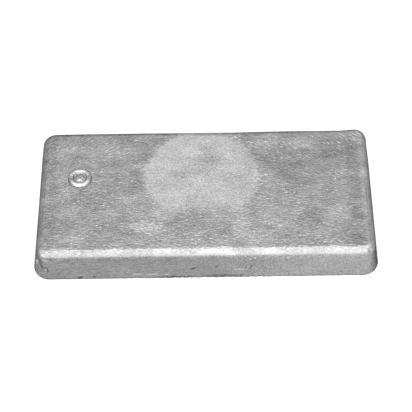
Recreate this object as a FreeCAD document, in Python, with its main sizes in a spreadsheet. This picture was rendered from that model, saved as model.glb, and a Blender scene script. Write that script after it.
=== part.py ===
# Cast zinc plate: a one-piece slab of raw stock that lies flat on its base.
#
# The mould gives it sides that lean in towards the top, upright corners that narrow with
# them, a well rounded top edge and a crisp base edge.  A socket screw stands in a
# counterbore in the mould, so the top face carries its print in relief: a round bead
# where metal ran into the gap about the head, the head's flat face inside the bead, and
# a hexagon from the socket.
#
# Frame: millimetres, +Z up, origin at the centre of the base, X along the length and Y
# across the width, towards the back.

import FreeCAD, Part
import math
import os

import Sketcher
from FreeCAD import Vector

PARTS_FOLDER = "parts"
START, END, CENTRE = 1, 2, 3  # Sketcher's numbers for the points of an edge
X_AXIS, ROOT_POINT = -1, 1  # the sketch's own origin, as a (geometry, point) pair

# alias, value, note: millimetres, and degrees for the two drafts
DRIVING_DIMENSIONS = [
    ("plate_length", 200.0, "foot of the sides, before the base edge is worn"),
    ("plate_width", 100.0, "foot of the sides, before the base edge is worn"),
    ("plate_height", 20.0, "base to top face"),
    ("side_draft", 8.5, "lean of the four sides"),
    ("corner_radius", 10.0, "upright corners, at the base"),
    ("top_edge_radius", 4.5, "round from the top face to the sides"),
    ("base_edge_radius", 0.6, "wear on the edge of the base"),
    ("print_from_end", 26.0, "screw print's centre to the left end of the base"),
    ("print_from_back", 40.0, "screw print's centre to the back of the base"),
    ("bead_diameter", 10.4, "bead, across the middle of its section"),
    ("bead_section", 3.2, "bead, across its round section"),
    ("head_face_rise", 0.3, "face of the screw's head, above the top face"),
    ("hexagon_flats", 5.0, "hexagon, across flats at its foot"),
    ("hexagon_rise", 1.1, "hexagon, above the head's face"),
    ("hexagon_draft", 25.0, "lean of the hexagon's sides"),
]


def make_sheet(doc):
    """Writes the driving dimensions to a spreadsheet, one aliased cell each."""
    sheet = doc.addObject("Spreadsheet::Sheet", "Sizes")
    for row, (alias, value, note) in enumerate(DRIVING_DIMENSIONS, start=1):
        sheet.set(f"A{row}", alias)
        sheet.set(f"B{row}", str(value))
        sheet.set(f"C{row}", note)
        sheet.setAlias(f"B{row}", alias)
    doc.recompute()
    return sheet


def bind(item, bindings):
    """Ties properties or named constraints to expressions over the sheet's cells."""
    for target, expression in bindings.items():
        item.setExpression(target, expression)


def origin_plane(body, role):
    """The body's own origin plane of that role."""
    return next(plane for plane in body.Origin.OriginFeatures if plane.Role == role)


def sketch_on(body, name, role):
    """A new sketch on one of the body's own origin planes."""
    sketch = body.newObject("Sketcher::SketchObject", name)
    sketch.AttachmentSupport = [(origin_plane(body, role), "")]
    sketch.MapMode = "FlatFace"
    return sketch


def hold(sketch, name, *constraint):
    """Adds a dimension to the sketch under a name, so that a cell can drive it."""
    index = sketch.addConstraint(Sketcher.Constraint(*constraint))
    sketch.renameConstraint(index, name)


def add_feature(body, kind, name, **settings):
    """A new feature of the body, with its settings."""
    feature = body.newObject(f"PartDesign::{kind}", name)
    for setting, value in settings.items():
        setattr(feature, setting, value)
    return feature


def round_edges(body, name, base, height, radius):
    """Rounds the edges of base that lie flat at that height. radius is an expression."""
    on_level = [
        f"Edge{number}"
        for number, edge in enumerate(base.Shape.Edges, start=1)
        if all(abs(vertex.Z - height) < 1e-6 for vertex in edge.Vertexes)
    ]
    fillet = add_feature(body, "Fillet", name, Base=(base, on_level))
    bind(fillet, {"Radius": radius})
    return fillet


def draw_rounded_rectangle(sketch, length, width, radius):
    """Four corner arcs and the four lines between them, centred and fully held."""
    corner_x = length / 2 - radius
    corner_y = width / 2 - radius
    corners = [(corner_x, corner_y), (-corner_x, corner_y), (-corner_x, -corner_y), (corner_x, -corner_y)]
    arcs = []
    for quarter, (x, y) in enumerate(corners):
        circle = Part.Circle(Vector(x, y, 0), Vector(0, 0, 1), radius)
        first = quarter * math.pi / 2
        arcs.append(sketch.addGeometry(Part.ArcOfCircle(circle, first, first + math.pi / 2), False))
    lines = []
    for arc, following in zip(arcs, arcs[1:] + arcs[:1]):
        run = Part.LineSegment(sketch.getPoint(arc, END), sketch.getPoint(following, START))
        line = sketch.addGeometry(run, False)
        sketch.addConstraint(Sketcher.Constraint("Tangent", arc, END, line, START))
        sketch.addConstraint(Sketcher.Constraint("Tangent", line, END, following, START))
        lines.append(line)
    back, left, front, right = lines
    for line in (back, front):
        sketch.addConstraint(Sketcher.Constraint("Horizontal", line))
    for line in (left, right):
        sketch.addConstraint(Sketcher.Constraint("Vertical", line))
    for arc in arcs[1:]:
        sketch.addConstraint(Sketcher.Constraint("Equal", arcs[0], arc))
    sketch.addConstraint(
        Sketcher.Constraint("Symmetric", arcs[0], CENTRE, arcs[2], CENTRE, X_AXIS, ROOT_POINT)
    )
    hold(sketch, "corner", "Radius", arcs[0], radius)
    hold(sketch, "length", "DistanceX", left, START, right, START, length)
    hold(sketch, "width", "DistanceY", front, START, back, START, width)


def draw_circle(sketch, x, y, radius):
    """A circle that is held at its centre. Its radius is the dimension named radius."""
    circle = sketch.addGeometry(Part.Circle(Vector(x, y, 0), Vector(0, 0, 1), radius), False)
    hold(sketch, "radius", "Radius", circle, radius)
    return circle


def draw_hexagon(sketch, radius):
    """A regular hexagon in a circle, with two level sides. The circle is its dimension."""
    circle = draw_circle(sketch, 0, 0, radius)
    sketch.toggleConstruction(circle)
    sketch.addConstraint(Sketcher.Constraint("Coincident", circle, CENTRE, X_AXIS, ROOT_POINT))
    points = [
        Vector(radius * math.cos(turn * math.pi / 3), radius * math.sin(turn * math.pi / 3), 0)
        for turn in range(6)
    ]
    sides = [
        sketch.addGeometry(Part.LineSegment(point, following), False)
        for point, following in zip(points, points[1:] + points[:1])
    ]
    for side, following in zip(sides, sides[1:] + sides[:1]):
        sketch.addConstraint(Sketcher.Constraint("Coincident", side, END, following, START))
        sketch.addConstraint(Sketcher.Constraint("PointOnObject", side, START, circle))
    for side in sides[1:]:
        sketch.addConstraint(Sketcher.Constraint("Equal", sides[0], side))
    sketch.addConstraint(Sketcher.Constraint("Horizontal", sides[1]))


def make_slab(body, sizes):
    """The slab: a tapered pad with its top and base edges rounded."""
    outline = sketch_on(body, "base_outline", "XY_Plane")
    draw_rounded_rectangle(outline, sizes.plate_length, sizes.plate_width, sizes.corner_radius)
    bind(outline, {
        "Constraints.length": "Sizes.plate_length",
        "Constraints.width": "Sizes.plate_width",
        "Constraints.corner": "Sizes.corner_radius",
    })
    slab = add_feature(body, "Pad", "slab", Profile=outline)
    bind(slab, {
        "Length": "Sizes.plate_height",
        "TaperAngle": "-Sizes.side_draft",
    })
    body.Document.recompute()
    top_round = round_edges(body, "top_round", slab, sizes.plate_height, "Sizes.top_edge_radius")
    body.Document.recompute()
    base_round = round_edges(body, "base_round", top_round, 0.0, "Sizes.base_edge_radius")
    body.Document.recompute()
    return base_round


def place_at_print(sketch, across, up, out):
    """Moves a sketch's origin by expressions along its own X, Y and normal."""
    bind(sketch, {
        "AttachmentOffset.Base.x": across,
        "AttachmentOffset.Base.y": up,
        "AttachmentOffset.Base.z": out,
    })


def make_screw_print(body, sizes):
    """The screw's print on the top face: bead, head face and hexagon."""
    print_x = "Sizes.print_from_end - Sizes.plate_length / 2"
    print_y = "Sizes.plate_width / 2 - Sizes.print_from_back"

    section = sketch_on(body, "bead_section", "XZ_Plane")
    place_at_print(section, print_x, "Sizes.plate_height", f"-({print_y})")
    circle = draw_circle(section, sizes.bead_diameter / 2, 0, sizes.bead_section / 2)
    hold(section, "reach", "DistanceX", X_AXIS, ROOT_POINT, circle, CENTRE, sizes.bead_diameter / 2)
    section.addConstraint(Sketcher.Constraint("PointOnObject", circle, CENTRE, X_AXIS))
    bind(section, {
        "Constraints.radius": "Sizes.bead_section / 2",
        "Constraints.reach": "Sizes.bead_diameter / 2",
    })
    add_feature(body, "Revolution", "bead", Profile=section, ReferenceAxis=(section, ["V_Axis"]), Angle=360)
    body.Document.recompute()

    head = sketch_on(body, "head_outline", "XY_Plane")
    place_at_print(head, print_x, print_y, "Sizes.plate_height")
    circle = draw_circle(head, 0, 0, sizes.bead_diameter / 2)
    head.addConstraint(Sketcher.Constraint("Coincident", circle, CENTRE, X_AXIS, ROOT_POINT))
    bind(head, {"Constraints.radius": "Sizes.bead_diameter / 2"})
    head_face = add_feature(body, "Pad", "head_face", Profile=head)
    bind(head_face, {"Length": "Sizes.head_face_rise"})
    body.Document.recompute()

    socket = sketch_on(body, "hexagon_outline", "XY_Plane")
    place_at_print(socket, print_x, print_y, "Sizes.plate_height + Sizes.head_face_rise")
    draw_hexagon(socket, sizes.hexagon_flats / math.sqrt(3))
    bind(socket, {"Constraints.radius": "Sizes.hexagon_flats / sqrt(3)"})
    hexagon = add_feature(body, "Pad", "hexagon", Profile=socket)
    bind(hexagon, {
        "Length": "Sizes.hexagon_rise",
        "TaperAngle": "-Sizes.hexagon_draft",
    })
    body.Document.recompute()


def make_zinc_plate(doc, sizes):
    """The whole casting, one solid."""
    body = doc.addObject("PartDesign::Body", "ZincPlate")
    body.Label = "zinc_plate"
    make_slab(body, sizes)
    make_screw_print(body, sizes)
    return body


def check(doc, bodies):
    """Stops the build at a failed object or a bad shape."""
    for item in doc.Objects:
        if {"Invalid", "Error"} & set(item.State):
            raise RuntimeError(f"{item.Name} failed: {item.State}")
    for body in bodies:
        shape = body.Shape
        if shape.isNull() or not shape.isValid() or len(shape.Solids) != 1:
            raise RuntimeError(f"{body.Label} is not one valid solid")


def main():
    doc = FreeCAD.newDocument("zinc_plate")
    sizes = make_sheet(doc)
    bodies = [make_zinc_plate(doc, sizes)]
    doc.recompute()
    check(doc, bodies)
    os.makedirs(PARTS_FOLDER, exist_ok=True)
    for body in bodies:
        body.Shape.exportStep(os.path.join(PARTS_FOLDER, f"{body.Label}.step"))
        box = body.Shape.BoundBox
        print(
            f"{body.Label}: {body.Shape.Volume / 1000:.2f} cm3, "
            f"{box.XLength:.2f} x {box.YLength:.2f} x {box.ZLength:.2f} mm"
        )


main()
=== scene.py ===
import math
import bpy
from mathutils import Euler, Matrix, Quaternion, Vector


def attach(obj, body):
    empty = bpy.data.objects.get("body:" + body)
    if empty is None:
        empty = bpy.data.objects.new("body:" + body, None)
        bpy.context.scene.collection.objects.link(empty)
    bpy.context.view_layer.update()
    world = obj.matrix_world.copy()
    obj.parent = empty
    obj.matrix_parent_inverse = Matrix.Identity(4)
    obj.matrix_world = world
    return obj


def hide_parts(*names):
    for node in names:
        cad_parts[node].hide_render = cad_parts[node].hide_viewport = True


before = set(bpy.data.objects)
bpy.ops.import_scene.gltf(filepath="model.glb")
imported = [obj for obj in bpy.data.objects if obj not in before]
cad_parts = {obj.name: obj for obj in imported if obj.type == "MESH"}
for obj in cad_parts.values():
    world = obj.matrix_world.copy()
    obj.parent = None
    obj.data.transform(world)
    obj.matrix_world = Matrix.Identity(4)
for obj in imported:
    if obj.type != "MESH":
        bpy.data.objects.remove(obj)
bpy.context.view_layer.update()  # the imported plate, in metres, as the fixed frame

# Cast zinc plate, lying flat. All sizes are metres, and +Z is up.
# The slab and the screw's print are modelled as a casting is: a plain form, then the
# skin that the mould and the freezing metal gave it, then the knocks of handling.

camera = {
    "azimuth": 0.487, "elevation": 50.324, "roll": -1.212,  # degrees
    "distance": 0.9341,
    "lens": 137.70, "sensor": 36.0,  # millimetres, as Blender has them
    "aimHeight": 0.010,
    "aside": -0.00045, "above": 0.00337,  # the plate's centre from the middle of the frame
}

studio = {
    "backdrop": 1.0,  # what the camera and the metal see beyond the floor
    "fill": 0.22,  # the same room as a light
    "floorColour": 0.62, "floorGlow": 0.49, "floorSize": 8,
    # soft boxes, each a part of one arc over the plate: angle from overhead towards the front
    "boxes": {
        "overheadBox": {"angle": 8.0, "across": 3.2, "along": 1.27, "power": 27.5},
        "frontBox": {"angle": 62.0, "across": 3.4, "along": 1.38, "power": 32.5},
    },
    "boxDistance": 1.3,
}


def deselectAll():
    bpy.ops.object.select_all(action="DESELECT")


def activate(piece):
    deselectAll()
    piece.select_set(True)
    bpy.context.view_layer.objects.active = piece


def editMode(piece):
    # edit mode with nothing selected
    activate(piece)
    bpy.ops.object.mode_set(mode="EDIT")
    bpy.ops.mesh.select_all(action="DESELECT")


def objectMode():
    bpy.ops.object.mode_set(mode="OBJECT")


def pickFaces(piece, test):
    # selects the faces that pass the test, by their place or normal, and leaves edit mode on
    editMode(piece)
    bpy.ops.mesh.select_mode(type="FACE")
    objectMode()
    for face in piece.data.polygons:
        face.select = bool(test(face))
    bpy.ops.object.mode_set(mode="EDIT")


def pickEdges(piece, test):
    # selects the edges that pass the test, which is given their two ends
    editMode(piece)
    bpy.ops.mesh.select_mode(type="EDGE")
    objectMode()
    points = piece.data.vertices
    for edge in piece.data.edges:
        edge.select = bool(test(*(points[corner].co for corner in edge.vertices)))
    bpy.ops.object.mode_set(mode="EDIT")


def finishModifier(piece, kind, **settings):
    activate(piece)
    bpy.ops.object.modifier_add(type=kind)
    modifier = piece.modifiers[-1]
    for setting, value in settings.items():
        setattr(modifier, setting, value)
    bpy.ops.object.modifier_apply(modifier=modifier.name)


def nameIt(name):
    piece = bpy.context.active_object
    piece.name = name
    piece.data.name = name
    return piece


slab = {
    "length": 0.200, "width": 0.100, "height": 0.020,
    "draft": 8.5,  # degrees
    "cornerRadius": 0.010, "topRound": 0.0045,
    "grain": 0.00062,  # side of the skin's small faces
}


def makeSlab():
    draft = math.radians(slab["draft"])
    bpy.ops.mesh.primitive_plane_add(size=1, location=(0, 0, 0))
    piece = nameIt("castPlate")
    piece.scale = (slab["length"], slab["width"], 1)
    bpy.ops.object.transform_apply(location=True, rotation=True, scale=True)
    # upright corners
    editMode(piece)
    bpy.ops.mesh.select_all(action="SELECT")
    bpy.ops.mesh.bevel(offset=slab["cornerRadius"], segments=12, affect="VERTICES")
    # the drafted sides
    bpy.ops.mesh.select_all(action="SELECT")
    bpy.ops.mesh.inset(thickness=slab["height"] * math.tan(draft), depth=slab["height"])
    bpy.ops.mesh.select_all(action="DESELECT")
    bpy.ops.mesh.select_mode(type="EDGE")
    bpy.ops.mesh.select_non_manifold()
    bpy.ops.mesh.edge_face_add()
    bpy.ops.mesh.select_all(action="SELECT")
    bpy.ops.mesh.normals_make_consistent(inside=False)
    objectMode()
    # the round from the top face to the sides
    level = slab["height"] - 1e-5
    pickEdges(piece, lambda a, b: a.z > level and b.z > level)
    tangentLength = slab["topRound"] * math.tan((math.pi / 2 - draft) / 2)
    bpy.ops.mesh.bevel(offset=tangentLength, segments=10, affect="EDGES")
    objectMode()
    finishModifier(piece, "REMESH", mode="VOXEL", voxel_size=slab["grain"])
    finishModifier(piece, "SMOOTH", factor=0.5, iterations=2)
    return piece


def flattenBase(piece):
    # the base is one flat face
    pickFaces(piece, lambda face: face.normal.z < -0.99 and face.center.z < 2e-4)
    bpy.ops.mesh.dissolve_faces()
    objectMode()


skin = {
    "pourX": -0.002, "pourY": 0.011,  # the metal froze outwards in rings from here
    "waviness": 0.0006, "waveSize": 0.045,
    "ringRelief": 0.00022, "ringsPerMetre": 330, "ringCellsPerTurn": 40,
    "pebble": 0.00010, "pebbleSize": 0.0026,
    "flash": 0.0011, "flashSize": 0.0022,
}

# place, push and reach, in millimetres: lumps and dents that handling and the mould left
knocks = [
    ((92, 44, 18), (0.3, 0.5, 0.5), 11),  # the back right corner stands a little proud
    ((-97, -45, 11), (0.9, 0.9, 0), 2.4),
    ((-95, -47, 13), (0.5, 0.9, 0), 1.8),
    ((-92, -48, 8), (0.2, 0.8, 0), 1.6),
    ((-94, -45, 18.5), (-0.5, -0.7, 0.2), 5.5),  # a fat end to the front edge
    ((94, -46, 18), (-0.1, 0.3, -0.3), 2.2),
    ((6, -48, 8), (0, 0.35, 0), 1.5),
    ((-7, -48, 7), (0, 0.3, 0), 1.7),
    ((26, -48, 8), (0, 0.4, 0), 1.6),
    ((27, -47, 15), (0, -0.3, 0), 1.4),
    ((47, -47, 16), (0, 0.3, -0.1), 1.8),
    ((88, 33, 20), (0, 0, -0.25), 1.6),
    ((73, 13, 20), (0, 0, 0.35), 1.2),
]


def ease(low, high, value):
    # 0 below low, 1 above high, and smooth between them
    share = min(max((value - low) / (high - low), 0), 1)
    return share * share * (3 - 2 * share)


def weigh(piece, name, weightAt):
    # a vertex group whose weight depends on the place
    group = piece.vertex_groups.new(name=name)
    for vertex in piece.data.vertices:
        weight = weightAt(vertex.co)
        if weight > 0:
            group.add([vertex.index], weight, "REPLACE")


def mapRings(piece):
    # a UV map that runs round the pour in U and away from it in V
    rings = piece.data.uv_layers.new(name="rings")
    for loop in piece.data.loops:
        place = piece.data.vertices[loop.vertex_index].co
        x, y = place.x - skin["pourX"], place.y - skin["pourY"]
        turn = math.atan2(x, -y) / math.tau
        out = math.hypot(x, y)
        rings.data[loop.index].uv = (turn * skin["ringCellsPerTurn"], out * skin["ringsPerMetre"])


def roughen(piece, name, strength, size, group, coordinates="LOCAL", depth=2):
    clouds = bpy.data.textures.new(name, type="CLOUDS")
    clouds.noise_scale = size
    clouds.noise_depth = depth
    finishModifier(
        piece, "DISPLACE", texture=clouds, texture_coords=coordinates,
        strength=strength, mid_level=0.5, vertex_group=group,
    )
    bpy.data.textures.remove(clouds)


def makeSkin(piece):
    mapRings(piece)
    top = slab["height"]
    weigh(piece, "body", lambda co: ease(0.0002, 0.004, co.z))
    weigh(piece, "topFace", lambda co: ease(top - 0.0025, top - 0.0004, co.z))
    weigh(piece, "sides", lambda co: ease(0.0002, 0.002, co.z) * 0.6)
    front = -slab["width"] / 2
    weigh(piece, "flash", lambda co: (
        ease(0.003, 0.0008, co.z) * ease(front + 0.004, front + 0.001, co.y)
        * (0.25 + 0.75 * ease(-0.052, -0.04, co.x) * ease(0.05, 0.03, co.x))
    ))
    roughen(piece, "waviness", skin["waviness"], skin["waveSize"], "body", depth=1)
    roughen(piece, "rings", skin["ringRelief"], 1.0, "topFace", coordinates="UV")
    roughen(piece, "pebble", skin["pebble"], skin["pebbleSize"], "sides")
    roughen(piece, "flash", skin["flash"], skin["flashSize"], "flash", depth=3)
    piece.vertex_groups.clear()


def flattenFoot(piece):
    # whatever the skin pushed below the base goes back up to it
    editMode(piece)
    bpy.ops.mesh.select_mode(type="VERT")
    objectMode()
    for vertex in piece.data.vertices:
        vertex.select = vertex.co.z < 0
    bpy.ops.object.mode_set(mode="EDIT")
    bpy.ops.transform.resize(value=(1, 1, 0), center_override=(0, 0, 0))
    objectMode()


def knock(piece, place, push, reach):
    # the vertex nearest to the place moves by push, and its surroundings follow
    place = Vector(place) / 1000
    nearest = min(piece.data.vertices, key=lambda vertex: (vertex.co - place).length_squared).index
    editMode(piece)
    bpy.ops.mesh.select_mode(type="VERT")
    objectMode()
    piece.data.vertices[nearest].select = True
    bpy.ops.object.mode_set(mode="EDIT")
    bpy.ops.transform.translate(
        value=Vector(push) / 1000, use_proportional_edit=True,
        proportional_edit_falloff="SMOOTH", proportional_size=reach / 1000,
    )
    objectMode()


screwPrint = {
    "fromEnd": 0.0260, "fromBack": 0.040,
    "beadDiameter": 0.0104, "beadSection": 0.0032,
    "faceRise": 0.0003,
    "hexFlats": 0.0050, "hexRise": 0.0011, "hexDraft": 25.0,
    "fuller": 0.00020, "wider": 0.00015,  # what the smoothing of the joined print takes off again
    "root": 0.0020,  # depth that it reaches into the slab
    "grain": 0.00018,
}


def makeScrewPrint():
    x = screwPrint["fromEnd"] - slab["length"] / 2
    y = slab["width"] / 2 - screwPrint["fromBack"]
    top = slab["height"]
    bpy.ops.object.select_all(action="DESELECT")
    bpy.ops.mesh.primitive_torus_add(
        location=(x, y, top), major_segments=96, minor_segments=32,
        major_radius=screwPrint["beadDiameter"] / 2 + screwPrint["wider"],
        minor_radius=screwPrint["beadSection"] / 2 + screwPrint["fuller"],
    )
    bead = nameIt("screwPrint")
    depth = screwPrint["root"] + screwPrint["faceRise"]
    bpy.ops.mesh.primitive_cylinder_add(
        vertices=64, radius=screwPrint["beadDiameter"] / 2, depth=depth,
        location=(x, y, top + screwPrint["faceRise"] - depth / 2),
    )
    face = nameIt("headFace")
    rise = screwPrint["hexRise"]
    lean = rise * math.tan(math.radians(screwPrint["hexDraft"]))  # of each flat
    footFlats = screwPrint["hexFlats"]
    bpy.ops.mesh.primitive_cone_add(
        vertices=6, radius1=footFlats / math.sqrt(3), radius2=(footFlats - 2 * lean) / math.sqrt(3),
        depth=rise, location=(x, y, top + screwPrint["faceRise"] + rise / 2),
        rotation=(0, 0, math.radians(30)),
    )
    hexagon = nameIt("hexagon")
    deselectAll()
    for part in (face, hexagon, bead):
        part.select_set(True)
    bpy.context.view_layer.objects.active = bead
    bpy.ops.object.join()
    bpy.ops.object.transform_apply(location=True, rotation=True, scale=True)
    finishModifier(bead, "REMESH", mode="VOXEL", voxel_size=screwPrint["grain"])
    finishModifier(bead, "SMOOTH", factor=0.5, iterations=3)
    return bead


def weld(piece, addition):
    # joins the addition to the piece as one closed skin
    finishModifier(piece, "BOOLEAN", operation="UNION", solver="EXACT", object=addition)
    bpy.data.objects.remove(addition)


castPlate = makeSlab()
print("slab", len(castPlate.data.polygons))
flattenBase(castPlate)
print("base flattened", len(castPlate.data.polygons))
makeSkin(castPlate)
print("skin")
for place, push, reach in knocks:
    knock(castPlate, place, push, reach)
flattenFoot(castPlate)
print("knocks")
printPiece = makeScrewPrint()
print("screw print", len(printPiece.data.polygons))
weld(castPlate, printPiece)
print("welded", len(castPlate.data.polygons))
activate(castPlate)
bpy.ops.object.shade_smooth_by_angle(angle=math.radians(50))


zinc = {
    "grey": 0.276, "mottle": 0.20,  # mean reflectance, and how far the clouds of oxide change it
    "roughness": 0.39,
    "grazingTint": 0.10,  # dulled skin: reflects less where it is seen edge on
    "pourRadius": 34.0, "pourSoftness": 5.0,  # millimetres, the frosted patch where the metal was poured
    "pourGrey": 0.106, "pourRoughness": 0.24,
    "pourFront": (-20.0, -10.0), "pourFaint": 0.15,  # in front of here it is faint
    "archRadius": 110.0,  # the freezing fronts, level at the front and arched at the back
    # relief in millimetres or change of grey, cells to a millimetre both ways, and where each starts
    "wrinkle": {"height": 0.34, "along": 0.33, "across": 0.75, "shift": 3.7},
    "pebble": {"height": 0.20, "along": 0.62, "across": 0.8, "shift": 9.1},
    "grain": {"height": 0.12, "along": 1.3, "across": 1.6, "shift": 17.3},
    "bloom": {"change": 0.40, "along": 0.75, "across": 1.30, "shift": 29.0},  # streaks of oxide
    # painted glints: bright flecks
    "paintedGlints": {"change": 0.40, "along": 0.45, "across": 1.25, "shift": 41.0},
    "frost": {"change": 0.55, "along": 1.1, "across": 1.2, "shift": 53.0},
    "printRubAndHighlight": 0.08,  # the raised print is rubbed brighter, and part of it is a painted highlight
}

# heights in millimetres, between which one kind of surface gives way to the next
levels = {
    "top": (17.5, 19.6), "side": (18.0, 15.5), "foot": (1.3, 0.7),
    "edgeFromSide": (14.5, 16.5), "edgeFromTop": (19.97, 19.6),
    "print": (20.35, 20.8),
}

# the sides touched the mould, so they are cleaner: changes of grey. Their shade, the paler right half, the
# paler left end, the darker right end and the dark foot are painted light and shade
sides = {
    "mottle": 0.07, "dust": 0.24, "edgeDust": 0.38,
    "streaks": 0.36, "shade": -0.060,
    "paintedPaleRight": 0.06,  # painted light: the right half is paler than the left
    # painted light at the left end and painted shade at the right end
    "paintedPaleLeftEnd": 0.09, "paintedDarkRightEnd": -0.06,
    "foot": -0.10,
}

# pale and dark stains on the top face, and painted highlights and shade on the screw's print: place, half
# sizes in millimetres and change of grey
stainsAndPaintedLight = [
    ((-35.5, -28.5), (13, 6), 0.115),  # the palest smear
    ((-24, -18), (10, 8), 0.06),
    ((20, -24), (8, 18), 0.055),
    ((25, -37), (7, 8), 0.04),
    ((-6, -33), (7, 5), 0.05),
    ((-57, -20), (11, 7), 0.035),
    ((-79, -16), (12, 7), 0.035),
    ((-73, -33), (10, 7), 0.035),
    ((57, 35), (14, 6), 0.055),
    ((33, 35), (12, 6), 0.045),
    ((78, -17), (9, 6), 0.04),
    ((45, -22), (16, 10), 0.035),
    ((-58, 30), (24, 7), 0.035),
    ((-80, 27), (12, 12), 0.02),
    ((3, 25), (12, 10), -0.075),
    ((53, 14), (13, 10), -0.04),
    ((36, 25), (11, 9), -0.03),
    ((-51, 22), (13, 7), -0.035),
    ((-72, -7), (14, 9), -0.03),
    ((-46, 6), (13, 12), -0.04),
    ((60, -24), (12, 9), -0.035),
    ((-17, -25), (12, 10), -0.025),
    ((-86, -25), (12, 14), -0.02),
    ((87, -30), (12, 22), -0.04),
    ((72, 14), (42, 32), -0.035),
    ((0, -27), (45, 14), -0.02),
    ((-91, 0), (6, 75), -0.045),  # darker towards the ends, with a pale rim at the right
    ((88, 0), (6, 70), -0.03),
    ((94, 0), (3.5, 60), 0.035),
    ((85, 24), (3.2, 0.5), 0.16),  # a scratch
    ((-74, 10.2), (3.4, 3.4), -0.12),  # the hexagon is dull, unlike the bead about it
    ((-74, 7.7), (2.6, 0.55), 0.13),  # and its front edges get a painted highlight
    ((-76.1, 8.6), (0.9, 0.9), 0.10),
    ((-71.8, 8.7), (1.1, 0.9), 0.16),
    ((-68.3, 9.2), (1.6, 2.8), -0.13),  # painted shade on the bead at its right and its front left
    ((-79.5, 7.6), (1.6, 2.4), -0.12),
]

# marks on the front side: place along and up, half sizes, slope in degrees and change of grey
frontMarks = [
    ((6, 8), (1.9, 0.7), 50, -0.11),
    ((22.7, 7.7), (1.6, 0.6), 55, -0.09),
    ((26, 8), (2.2, 0.7), 60, -0.12),
    ((-7, 7.5), (2.6, 0.8), 35, -0.12),
    ((19, 6.2), (5.0, 0.6), 5, 0.10),
    ((25.6, 14.3), (1.0, 0.7), 0, 0.25),
    ((28.2, 15.0), (0.9, 0.6), 0, 0.25),
    ((-39.5, 3.4), (4.0, 0.6), 0, 0.16),
    ((-31, 3.2), (4.5, 0.6), 0, 0.16),
    ((-23.5, 3.0), (3.5, 0.5), 0, 0.12),
    ((-17, 1.2), (14, 0.8), 0, -0.12),
    ((12, 1.8), (17, 1.0), 0, -0.10),
    ((-72.5, 1.7), (2.2, 1.2), 20, -0.16),
    ((-64.5, 2.0), (1.2, 0.9), 0, -0.14),
    ((-92.5, 15.2), (3.5, 1.2), 0, 0.16),
    ((-94.5, 11), (0.9, 5.0), 25, -0.12),
    ((-91, 7), (0.6, 4.0), -4, -0.08),
]


def addNode(tree, kind, **settings):
    node = tree.nodes.new(kind)
    for setting, value in settings.items():
        setattr(node, setting, value)
    return node


def feed(tree, socket, value):
    # a number or a colour is set, and a socket is linked
    if isinstance(value, bpy.types.NodeSocket):
        tree.links.new(value, socket)
    else:
        socket.default_value = value


def calc(tree, operation, *values):
    node = addNode(tree, "ShaderNodeMath", operation=operation)
    for socket, value in zip(node.inputs, values):
        feed(tree, socket, value)
    return node.outputs[0]


def join(tree, x, y, z):
    node = addNode(tree, "ShaderNodeCombineXYZ")
    for socket, value in zip(node.inputs, (x, y, z)):
        feed(tree, socket, value)
    return node.outputs[0]


def noise(tree, vector, scale, detail=2.0, roughness=0.5, warp=0.0):
    node = addNode(tree, "ShaderNodeTexNoise")
    feed(tree, node.inputs["Vector"], vector)
    node.inputs["Scale"].default_value = scale
    node.inputs["Detail"].default_value = detail
    node.inputs["Roughness"].default_value = roughness
    node.inputs["Distortion"].default_value = warp
    return node.outputs["Fac"]


def ramp(tree, value, low, high, toLow=0.0, toHigh=1.0):
    node = addNode(tree, "ShaderNodeMapRange", interpolation_type="SMOOTHSTEP")
    feed(tree, node.inputs["Value"], value)
    node.inputs["From Min"].default_value = low
    node.inputs["From Max"].default_value = high
    node.inputs["To Min"].default_value = toLow
    node.inputs["To Max"].default_value = toHigh
    return node.outputs[0]


def placed(tree, vector, kind, place=(0, 0, 0), size=(1, 1, 1), slope=0.0):
    # POINT scales the vector by size, and TEXTURE puts a pattern of that size at the place
    node = addNode(tree, "ShaderNodeMapping", vector_type=kind)
    feed(tree, node.inputs["Vector"], vector)
    node.inputs["Location"].default_value = place
    node.inputs["Rotation"].default_value = (0, 0, math.radians(slope))
    node.inputs["Scale"].default_value = size
    return node.outputs[0]


def ovalSpot(tree, flat, place, size, slope=0.0):
    # 1 in the middle of an oval, and down to 0 at its rim
    node = addNode(tree, "ShaderNodeTexGradient", gradient_type="SPHERICAL")
    feed(tree, node.inputs["Vector"], placed(tree, flat, "TEXTURE", (*place, 0), (*size, 1), slope))
    return ramp(tree, node.outputs["Fac"], 0.0, 0.6)


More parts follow.
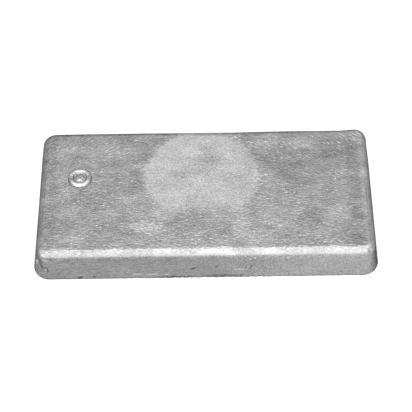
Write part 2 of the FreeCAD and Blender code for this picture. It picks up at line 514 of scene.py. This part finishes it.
def zincFinish():
    material = bpy.data.materials.new("castZinc")
    material.use_nodes = True
    tree = material.node_tree
    shader = tree.nodes["Principled BSDF"]
    coordinates = addNode(tree, "ShaderNodeTexCoord")
    mm = placed(tree, coordinates.outputs["Object"], "POINT", size=(1000, 1000, 1000))
    split = addNode(tree, "ShaderNodeSeparateXYZ")
    tree.links.new(mm, split.inputs[0])
    x, y, z = split.outputs

    # where the spot is on the casting
    top = ramp(tree, z, *levels["top"])
    side = ramp(tree, z, *levels["side"])
    belowTop = ramp(tree, z, *levels["edgeFromTop"])
    edge = calc(tree, "MULTIPLY", belowTop, ramp(tree, z, *levels["edgeFromSide"]))
    proud = ramp(tree, z, *levels["print"])
    clouds = noise(tree, mm, 0.055, 3, 0.55)
    smallClouds = noise(tree, placed(tree, mm, "POINT", size=(0.10, 0.17, 0.17)), 1.0, 4, 0.6)
    tatters = noise(tree, mm, 0.45, 3, 0.65)

    # the freezing fronts give a second coordinate that runs across the streaks
    arch = calc(tree, "MULTIPLY", calc(tree, "MULTIPLY", x, x), ramp(tree, y, -25.0, 30.0))
    across = calc(tree, "MULTIPLY_ADD", arch, 0.5 / zinc["archRadius"], y)
    sway = calc(tree, "MULTIPLY_ADD", smallClouds, 5.0, across)
    streaked = join(tree, x, sway, calc(tree, "MULTIPLY", z, 0.8))

    def streaks(name, detail, roughness):
        recipe = zinc[name]
        size = (recipe["along"], recipe["across"], recipe["across"])
        start = (recipe["shift"], 0, 0)
        return noise(tree, placed(tree, streaked, "POINT", start, size), 1.0, detail, roughness)

    # the frosted patch where the metal was poured
    dx = calc(tree, "SUBTRACT", x, skin["pourX"] * 1000)
    dy = calc(tree, "SUBTRACT", y, skin["pourY"] * 1000)
    square = calc(tree, "MULTIPLY_ADD", dx, dx, calc(tree, "MULTIPLY", dy, dy))
    away = calc(tree, "SQRT", square)
    ragged = calc(tree, "MULTIPLY_ADD", tatters, 12.0, -6.0)
    half = zinc["pourSoftness"] / 2
    pour = ramp(tree, calc(tree, "ADD", away, ragged), zinc["pourRadius"] + half, zinc["pourRadius"] - half)
    front = ramp(tree, calc(tree, "ADD", y, ragged), *zinc["pourFront"], zinc["pourFaint"], 1.0)
    pour = calc(tree, "MULTIPLY", pour, front)
    pour = calc(tree, "MULTIPLY", pour, top)

    # relief in millimetres: wrinkles of the freezing skin, pebbles and grain
    wrinkles = streaks("wrinkle", 2, 0.55)
    pebbles = streaks("pebble", 2, 0.5)
    grain = streaks("grain", 2, 0.6)
    calm = calc(tree, "MULTIPLY", calc(tree, "MULTIPLY_ADD", pour, -0.6, 1.0), top)
    calm = calc(tree, "MULTIPLY", calm, calc(tree, "MULTIPLY_ADD", proud, -0.7, 1.0))
    relief = calc(tree, "MULTIPLY", calc(tree, "MULTIPLY", wrinkles, zinc["wrinkle"]["height"]), calm)
    relief = calc(tree, "MULTIPLY_ADD", pebbles, zinc["pebble"]["height"], relief)
    relief = calc(tree, "MULTIPLY", relief, calc(tree, "MULTIPLY_ADD", edge, -0.65, 1.0))
    relief = calc(tree, "MULTIPLY_ADD", grain, zinc["grain"]["height"], relief)
    bump = addNode(tree, "ShaderNodeBump")
    bump.inputs["Strength"].default_value = 1.0
    bump.inputs["Distance"].default_value = 0.001
    tree.links.new(relief, bump.inputs["Height"])
    tree.links.new(bump.outputs[0], shader.inputs["Normal"])

    # colour: clouds and streaks of thin oxide, paler where the pour frosted it
    mottle = calc(tree, "MULTIPLY_ADD", side, sides["mottle"] - zinc["mottle"], zinc["mottle"])
    grey = calc(tree, "MULTIPLY_ADD", calc(tree, "SUBTRACT", clouds, 0.5), mottle, zinc["grey"])
    grey = calc(tree, "MULTIPLY_ADD", calc(tree, "SUBTRACT", smallClouds, 0.5), mottle, grey)
    grey = calc(tree, "MULTIPLY_ADD", pour, zinc["pourGrey"], grey)
    bloom = calc(tree, "SUBTRACT", streaks("bloom", 4, 0.68), 0.5)
    grey = calc(tree, "MULTIPLY_ADD", calc(tree, "MULTIPLY", bloom, top), zinc["bloom"]["change"], grey)
    # painted glints: small bright flecks in clusters on the top face, fewer on the pour
    paintedGlints = ramp(tree, streaks("paintedGlints", 2, 0.6), 0.54, 0.76)
    clusters = noise(tree, placed(tree, mm, "POINT", (5, 0, 0), (0.07, 0.10, 0.10)), 1.0, 2, 0.5)
    paintedGlints = calc(tree, "MULTIPLY", paintedGlints, ramp(tree, clusters, 0.40, 0.60, 0.25, 1.0))
    paintedGlints = calc(tree, "MULTIPLY", paintedGlints, calc(tree, "MULTIPLY_ADD", pour, -0.8, top))
    grey = calc(tree, "MULTIPLY_ADD", paintedGlints, zinc["paintedGlints"]["change"], grey)
    frost = calc(tree, "SUBTRACT", streaks("frost", 3, 0.65), 0.5)
    grey = calc(tree, "MULTIPLY_ADD", calc(tree, "MULTIPLY", frost, pour), zinc["frost"]["change"], grey)
    rim = calc(tree, "MULTIPLY", edge, ramp(tree, x, -90.0, 60.0, -0.025, 0.02))
    grey = calc(tree, "ADD", grey, rim)
    dust = noise(tree, mm, 1.25, 3, 0.7)
    edgeDust = calc(tree, "MULTIPLY", edge, sides["edgeDust"])
    strength = calc(tree, "MULTIPLY_ADD", side, sides["dust"], edgeDust)
    grey = calc(tree, "MULTIPLY_ADD", calc(tree, "SUBTRACT", dust, 0.5), strength, grey)
    # the raised print: paler from rubbing, and partly a painted highlight
    grey = calc(tree, "MULTIPLY_ADD", proud, zinc["printRubAndHighlight"], grey)

    # stains, with tattered rims, and painted highlights and shade on the screw's print
    flat = join(tree, calc(tree, "MULTIPLY_ADD", tatters, 9.0, calc(tree, "SUBTRACT", x, 4.5)),
                calc(tree, "MULTIPLY_ADD", smallClouds, 9.0, calc(tree, "SUBTRACT", y, 4.5)), 0.0)
    plain = join(tree, x, y, 0.0)
    stainedAndPainted = 0.0
    for place, size, change in stainsAndPaintedLight:
        spot = ovalSpot(tree, plain if size[0] < 5 else flat, place, size)
        stainedAndPainted = calc(tree, "MULTIPLY_ADD", spot, change, stainedAndPainted)
    grey = calc(tree, "MULTIPLY_ADD", stainedAndPainted, top, grey)

    # the sides: level streaks at the left, an upright grain at the right
    level = noise(tree, placed(tree, mm, "POINT", size=(0.30, 0.30, 1.9)), 1.0, 4, 0.65)
    upright = noise(tree, placed(tree, mm, "POINT", size=(1.2, 1.2, 0.7)), 1.0, 3, 0.6)
    right = ramp(tree, x, -25.0, 35.0)
    levelPart = calc(tree, "MULTIPLY", calc(tree, "SUBTRACT", level, 0.5), calc(tree, "SUBTRACT", 1.0, right))
    uprightPart = calc(tree, "MULTIPLY", calc(tree, "SUBTRACT", upright, 0.5), right)
    both = calc(tree, "ADD", levelPart, uprightPart)
    # painted shade darkens the sides, and painted light and shade make the right half paler, the left end
    # paler and the right end darker
    sideGrey = calc(tree, "MULTIPLY_ADD", both, sides["streaks"], sides["shade"])
    sideGrey = calc(tree, "ADD", sideGrey, ramp(tree, x, 0.0, 75.0, 0.0, sides["paintedPaleRight"]))
    sideGrey = calc(tree, "ADD", sideGrey, ramp(tree, x, -94.0, -98.0, 0.0, sides["paintedPaleLeftEnd"]))
    sideGrey = calc(tree, "ADD", sideGrey, ramp(tree, x, 94.0, 98.0, 0.0, sides["paintedDarkRightEnd"]))
    grey = calc(tree, "MULTIPLY_ADD", sideGrey, side, grey)
    frontSide = calc(tree, "MULTIPLY", side, ramp(tree, y, -43.0, -46.0))
    wall = join(tree, calc(tree, "MULTIPLY_ADD", tatters, 2.0, calc(tree, "SUBTRACT", x, 1.0)),
                calc(tree, "MULTIPLY_ADD", tatters, 1.6, calc(tree, "SUBTRACT", z, 0.8)), 0.0)
    marked = 0.0
    for place, size, slope, change in frontMarks:
        marked = calc(tree, "MULTIPLY_ADD", ovalSpot(tree, wall, place, size, slope), change, marked)
    grey = calc(tree, "MULTIPLY_ADD", marked, frontSide, grey)
    # painted shade: a dark band round the foot, where the plate meets the floor
    foot = ramp(tree, calc(tree, "MULTIPLY_ADD", tatters, 0.8, z), *levels["foot"])
    grey = calc(tree, "MULTIPLY_ADD", foot, sides["foot"], grey)
    grey = calc(tree, "MAXIMUM", grey, 0.05)

    tree.links.new(grey, shader.inputs["Base Color"])
    rough = calc(tree, "MULTIPLY_ADD", pour, zinc["pourRoughness"], zinc["roughness"])
    tree.links.new(rough, shader.inputs["Roughness"])
    shader.inputs["Metallic"].default_value = 1
    shader.inputs["Specular Tint"].default_value = (zinc["grazingTint"],) * 3 + (1,)
    return material


castPlate.data.materials.clear()
castPlate.data.materials.append(zincFinish())
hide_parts("zinc_plate")
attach(castPlate, "root")
print("finish")


def seenDirectly(tree):
    # 1 for rays of the camera, gloss and transmission, which see the plain background
    path = addNode(tree, "ShaderNodeLightPath")
    direct = calc(tree, "MAXIMUM", path.outputs["Is Camera Ray"], path.outputs["Is Glossy Ray"])
    return calc(tree, "MAXIMUM", direct, path.outputs["Is Transmission Ray"])


def makeWorld():
    world = bpy.data.worlds.new("studio")
    bpy.context.scene.world = world
    world.use_nodes = True
    tree = world.node_tree
    background = tree.nodes["Background"]
    background.inputs["Color"].default_value = (1, 1, 1, 1)
    strength = ramp(tree, seenDirectly(tree), 0.0, 1.0, studio["fill"], studio["backdrop"])
    tree.links.new(strength, background.inputs["Strength"])


def makeFloor():
    bpy.ops.mesh.primitive_plane_add(size=studio["floorSize"], location=(0, 0, 0))
    floor = nameIt("floor")
    material = bpy.data.materials.new("paleFloor")
    material.use_nodes = True
    tree = material.node_tree
    tree.nodes.remove(tree.nodes["Principled BSDF"])
    output = tree.nodes["Material Output"]
    diffuse = addNode(tree, "ShaderNodeBsdfDiffuse")
    diffuse.inputs["Color"].default_value = (studio["floorColour"],) * 3 + (1,)
    glow = addNode(tree, "ShaderNodeEmission")
    tree.links.new(calc(tree, "MULTIPLY", seenDirectly(tree), studio["floorGlow"]), glow.inputs["Strength"])
    both = addNode(tree, "ShaderNodeAddShader")
    tree.links.new(diffuse.outputs[0], both.inputs[0])
    tree.links.new(glow.outputs[0], both.inputs[1])
    tree.links.new(both.outputs[0], output.inputs["Surface"])
    floor.data.materials.append(material)


def makeSoftBox(name, box):
    # an area lamp that faces the plate
    angle = math.radians(box["angle"])
    bpy.ops.object.light_add(
        type="AREA", rotation=(angle, 0, 0),
        location=(0, -math.sin(angle) * studio["boxDistance"], math.cos(angle) * studio["boxDistance"]),
    )
    lamp = bpy.context.active_object
    lamp.name = name
    lamp.data.shape = "RECTANGLE"
    lamp.data.size, lamp.data.size_y = box["across"], box["along"]
    lamp.data.energy = box["power"]
    lamp.visible_camera = False


def makeCamera():
    turn = Euler((math.radians(90 - camera["elevation"]), 0, math.radians(camera["azimuth"]))).to_quaternion()
    turn = turn @ Quaternion((0, 0, 1), math.radians(camera["roll"]))
    place = Vector((0, 0, camera["aimHeight"])) + turn @ Vector(
        (-camera["aside"], -camera["above"], camera["distance"])
    )
    bpy.ops.object.camera_add(location=place, rotation=turn.to_euler())
    piece = bpy.context.active_object
    piece.data.lens = camera["lens"]
    piece.data.sensor_width = camera["sensor"]
    piece.data.clip_start = 0.01
    bpy.context.scene.camera = piece


makeWorld()
makeFloor()
for boxName, box in studio["boxes"].items():
    makeSoftBox(boxName, box)
makeCamera()
bpy.context.scene.view_settings.view_transform = "Standard"
print("floor, light and camera")
